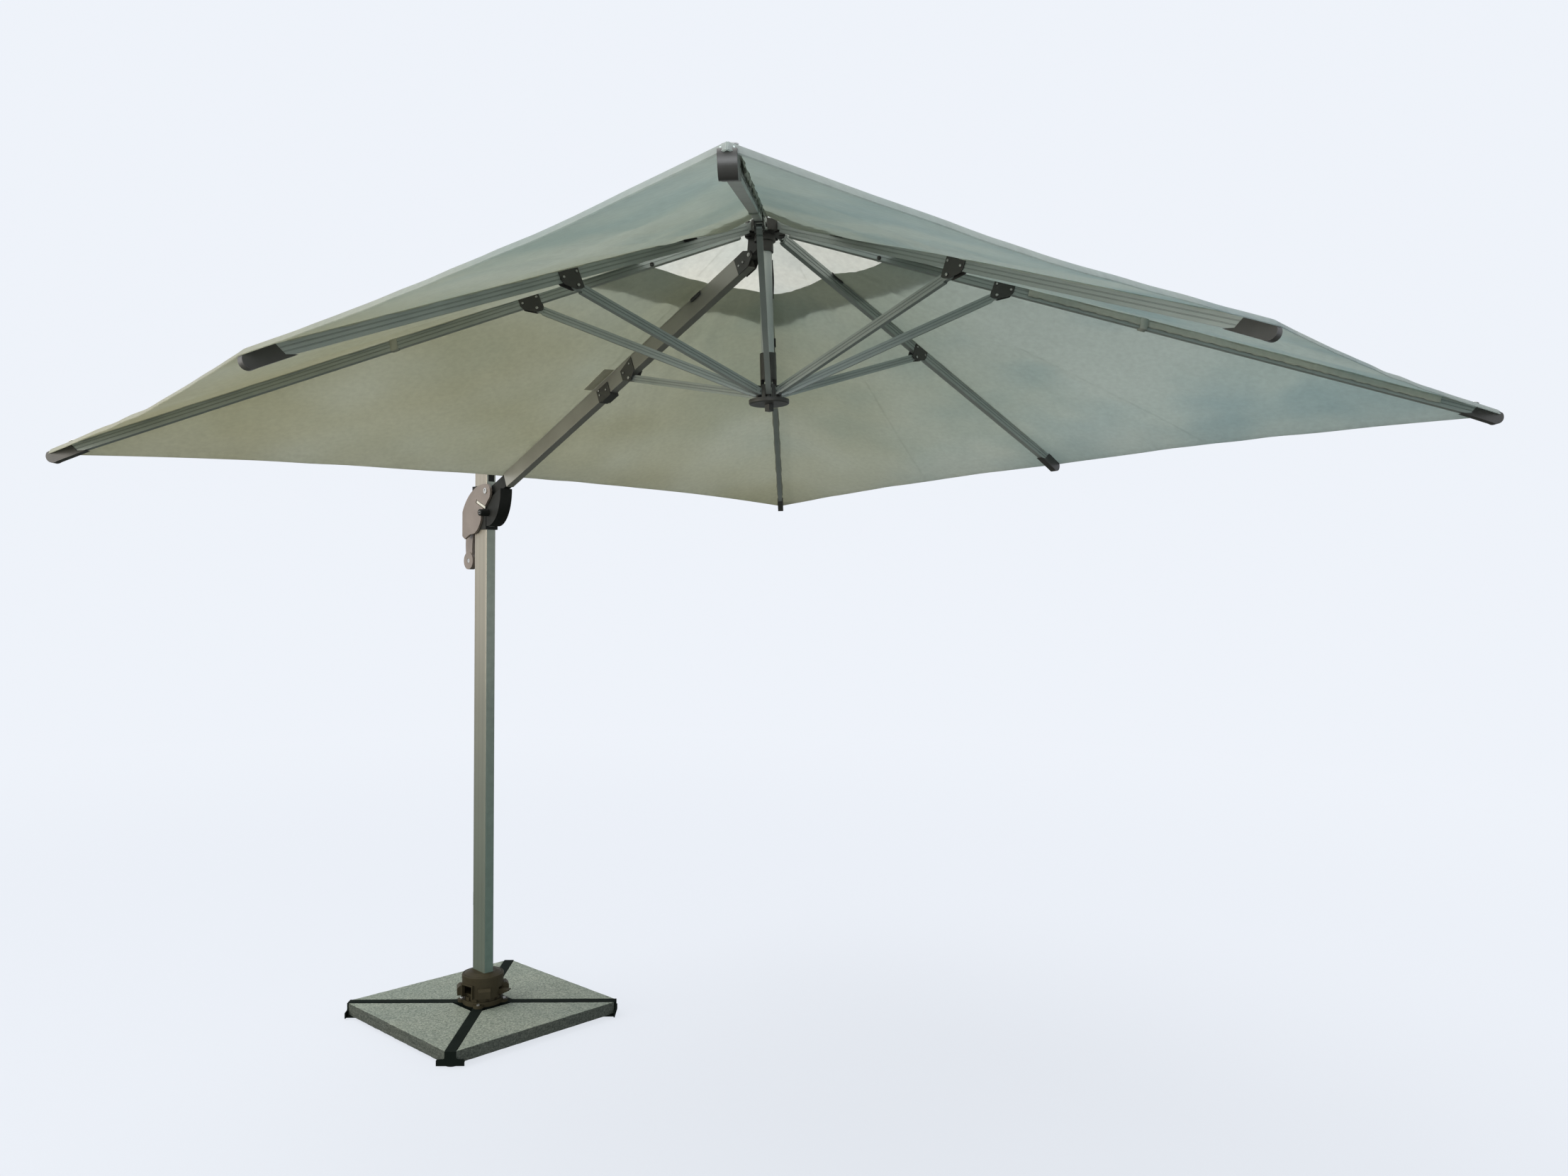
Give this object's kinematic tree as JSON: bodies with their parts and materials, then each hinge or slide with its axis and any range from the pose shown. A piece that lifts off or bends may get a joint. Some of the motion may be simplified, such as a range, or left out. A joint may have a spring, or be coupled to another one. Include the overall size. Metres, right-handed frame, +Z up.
{
  "type": "cantilever parasol",
  "caption": "Square-canopy cantilever parasol: folding ribs on a boom that slides and lifts on an offset mast, with a turntable and a stone-weighted cross base.",
  "frame": {"origin": "on the floor, on the mast's axis, under the middle of the base", "axes": "+Z up along the mast, +X from the mast towards the canopy hub, +Y to the left of that"},
  "size_m": [3.5227, 3.032, 2.8032],
  "materials": {
    "stone": "flamed speckled granite, grey-green",
    "steel_black": "black powder coat, satin",
    "bronze_coat": "bronze-brown fine powder coat, satin",
    "mast_alu": "taupe champagne anodised, satin",
    "rib_alu": "clear anodised extrusion, satin",
    "boom_alu": "champagne grey anodised, satin",
    "bronze_shell": "bronze-taupe moulding, semi-gloss",
    "black_plastic": "black glass-filled moulding, matte",
    "pale_plastic": "pale moulding",
    "rubber": "black rubber",
    "screw_steel": "zinc-plated steel",
    "canopy_fabric": "pale grey-green woven canopy cloth",
    "tube_grey": "light grey coated tube"
  },
  "bodies": {
    "base": {"base_stones": "stone", "base_cross": "steel_black", "base_feet": "rubber", "base_flange": "bronze_coat", "base_bolts": "screw_steel", "turntable_ring": "bronze_coat"},
    "mast": {"turntable_drum": "bronze_coat", "turntable_lid": "bronze_coat", "mast_tube": "mast_alu", "mast_cap": "black_plastic", "mast_fittings": "black_plastic"},
    "pedal": {"foot_pedal": "black_plastic"},
    "carriage": {"carriage_core": "black_plastic", "carriage_cheeks": "bronze_shell", "carriage_pins": "screw_steel", "carriage_bar": "pale_plastic"},
    "lever": {"grip_lever": "bronze_shell", "lever_screw": "screw_steel"},
    "boom": {"boom_root": "black_plastic", "boom_tube": "boom_alu", "boom_end": "steel_black", "boom_pin": "screw_steel", "boom_bracket": "steel_black", "boom_sleeve": "black_plastic"},
    "crank": {"crank_socket": "black_plastic"},
    "hub": {"hub_ring": "black_plastic", "hub_pins": "screw_steel", "canopy_cloth": "canopy_fabric", "vent_cowl": "canopy_fabric"},
    "rib_e": {"rib_e": "rib_alu", "rib_cap_e": "black_plastic", "rib_bracket_e": "steel_black"},
    "rib_ne": {"rib_ne": "rib_alu", "rib_cap_ne": "black_plastic", "rib_bracket_ne": "steel_black"},
    "rib_n": {"rib_n": "rib_alu", "rib_cap_n": "black_plastic", "rib_bracket_n": "steel_black"},
    "rib_nw": {"rib_nw": "rib_alu", "rib_cap_nw": "black_plastic", "rib_bracket_nw": "steel_black"},
    "rib_sw": {"rib_sw": "rib_alu", "rib_cap_sw": "black_plastic", "rib_bracket_sw": "steel_black"},
    "rib_s": {"rib_s": "rib_alu", "rib_cap_s": "black_plastic", "rib_bracket_s": "steel_black"},
    "rib_se": {"rib_se": "rib_alu", "rib_cap_se": "black_plastic", "rib_bracket_se": "steel_black"},
    "strut_e": {"strut_e": "rib_alu"},
    "strut_ne": {"strut_ne": "rib_alu"},
    "strut_n": {"strut_n": "rib_alu"},
    "strut_nw": {"strut_nw": "rib_alu"},
    "strut_sw": {"strut_sw": "rib_alu"},
    "strut_s": {"strut_s": "rib_alu"},
    "strut_se": {"strut_se": "rib_alu"},
    "strut_w": {"strut_w": "rib_alu"},
    "runner": {"runner_body": "black_plastic", "runner_tube": "tube_grey"}
  },
  "joints": [
    {"name": "mast_turn", "type": "hinge", "parent": "base", "child": "mast", "pos_m": [0, 0, 0.0755], "axis": [0, 0, 1], "continuous": true},
    {"name": "pedal_press", "type": "hinge", "parent": "mast", "child": "pedal", "pos_m": [0.06409, 0.037, 0.102], "axis": [-0.5, 0.866, 0], "range_deg": [0, 9], "stiffness_Nm_per_rad": 1.5, "springref_deg": -5.73},
    {"name": "carriage_slide", "type": "slide", "parent": "mast", "child": "carriage", "axis": [0, 0, 1], "range_m": [-1.2, 0.3]},
    {"name": "grip_release", "type": "hinge", "parent": "carriage", "child": "lever", "pos_m": [-0.084, 0, 1.897], "axis": [0, 1, 0], "range_deg": [0, 20], "stiffness_Nm_per_rad": 3, "springref_deg": -6.88},
    {"name": "boom_lift", "type": "hinge", "parent": "carriage", "child": "boom", "pos_m": [0.06, 0, 2.027], "axis": [0, -1, 0], "range_deg": [0, 60]},
    {"name": "crank_spin", "type": "hinge", "parent": "boom", "child": "crank", "pos_m": [0.062, 0, 1.943], "axis": [0, 1, 0], "continuous": true},
    {"name": "canopy_fold", "type": "hinge", "parent": "boom", "child": "hub", "pos_m": [1.51971, 0, 2.65075], "axis": [0, 1, 0], "range_deg": [0, 62.28], "deforming": ["canopy_cloth", "vent_cowl"]},
    {"name": "rib_fold_e", "type": "hinge", "parent": "hub", "child": "rib_e", "pos_m": [1.62369, 0, 2.72235], "axis": [0, 1, 0], "range_deg": [0, 61.53]},
    {"name": "strut_fold_e", "type": "hinge", "parent": "rib_e", "child": "strut_e", "pos_m": [2.25549, 0, 2.46042], "axis": [0, -1, 0], "range_deg": [0, 129.49]},
    {"name": "rib_fold_ne", "type": "hinge", "parent": "hub", "child": "rib_ne", "pos_m": [1.60789, 0.03818, 2.72166], "axis": [-0.7064, 0.7071, -0.0308], "range_deg": [0, 67.54]},
    {"name": "strut_fold_ne", "type": "hinge", "parent": "rib_ne", "child": "strut_ne", "pos_m": [2.05586, 0.47706, 2.5229], "axis": [0.7064, -0.7071, 0.0308], "range_deg": [0, 130.51]},
    {"name": "rib_fold_n", "type": "hinge", "parent": "hub", "child": "rib_n", "pos_m": [1.56974, 0.054, 2.71999], "axis": [-0.999, 0, -0.0436], "range_deg": [0, 61.53]},
    {"name": "strut_fold_n", "type": "hinge", "parent": "rib_n", "child": "strut_n", "pos_m": [1.58235, 0.67378, 2.43103], "axis": [0.999, 0, 0.0436], "range_deg": [0, 129.49]},
    {"name": "rib_fold_nw", "type": "hinge", "parent": "hub", "child": "rib_nw", "pos_m": [1.53159, 0.03818, 2.71833], "axis": [-0.7064, -0.7071, -0.0308], "range_deg": [0, 65.65]},
    {"name": "strut_fold_nw", "type": "hinge", "parent": "rib_nw", "child": "strut_nw", "pos_m": [1.10353, 0.47726, 2.4564], "axis": [0.7064, 0.7071, 0.0308], "range_deg": [0, 130.58]},
    {"name": "rib_fold_sw", "type": "hinge", "parent": "hub", "child": "rib_sw", "pos_m": [1.53159, -0.03818, 2.71833], "axis": [0.7064, -0.7071, 0.0308], "range_deg": [0, 67.54]},
    {"name": "strut_fold_sw", "type": "hinge", "parent": "rib_sw", "child": "strut_sw", "pos_m": [1.10264, -0.47706, 2.48128], "axis": [-0.7064, 0.7071, -0.0308], "range_deg": [0, 130.51]},
    {"name": "rib_fold_s", "type": "hinge", "parent": "hub", "child": "rib_s", "pos_m": [1.56974, -0.054, 2.71999], "axis": [0.999, 0, 0.0436], "range_deg": [0, 61.53]},
    {"name": "strut_fold_s", "type": "hinge", "parent": "rib_s", "child": "strut_s", "pos_m": [1.58235, -0.67378, 2.43103], "axis": [-0.999, 0, -0.0436], "range_deg": [0, 129.49]},
    {"name": "rib_fold_se", "type": "hinge", "parent": "hub", "child": "rib_se", "pos_m": [1.60789, -0.03818, 2.72166], "axis": [0.7064, 0.7071, 0.0308], "range_deg": [0, 67.54]},
    {"name": "strut_fold_se", "type": "hinge", "parent": "rib_se", "child": "strut_se", "pos_m": [2.05586, -0.47706, 2.5229], "axis": [-0.7064, -0.7071, -0.0308], "range_deg": [0, 130.51]},
    {"name": "strut_fold_w", "type": "hinge", "parent": "boom", "child": "strut_w", "pos_m": [0.93646, 0, 2.35576], "axis": [0, 1, 0], "range_deg": [0, 133.7]},
    {"name": "runner_fold", "type": "hinge", "parent": "strut_nw", "child": "runner", "pos_m": [1.56268, 0.02828, 2.23322], "axis": [-0.7064, -0.7071, -0.0308], "range_deg": [0, 64.95]}
  ],
  "couplings": [
    {"joint": "canopy_fold", "follows": "boom_lift", "ratio": 1.0376},
    {"joint": "rib_fold_e", "follows": "boom_lift", "ratio": 1.0252},
    {"joint": "strut_fold_e", "follows": "boom_lift", "ratio": 2.1579},
    {"joint": "rib_fold_ne", "follows": "boom_lift", "ratio": 1.1254},
    {"joint": "strut_fold_ne", "follows": "boom_lift", "ratio": 2.1749},
    {"joint": "rib_fold_n", "follows": "boom_lift", "ratio": 1.0252},
    {"joint": "strut_fold_n", "follows": "boom_lift", "ratio": 2.1579},
    {"joint": "rib_fold_nw", "follows": "boom_lift", "ratio": 1.0938},
    {"joint": "strut_fold_nw", "follows": "boom_lift", "ratio": 2.176},
    {"joint": "rib_fold_sw", "follows": "boom_lift", "ratio": 1.1254},
    {"joint": "strut_fold_sw", "follows": "boom_lift", "ratio": 2.1749},
    {"joint": "rib_fold_s", "follows": "boom_lift", "ratio": 1.0252},
    {"joint": "strut_fold_s", "follows": "boom_lift", "ratio": 2.1579},
    {"joint": "rib_fold_se", "follows": "boom_lift", "ratio": 1.1254},
    {"joint": "strut_fold_se", "follows": "boom_lift", "ratio": 2.1749},
    {"joint": "strut_fold_w", "follows": "boom_lift", "ratio": 2.228},
    {"joint": "runner_fold", "follows": "boom_lift", "ratio": 1.0822}
  ]
}
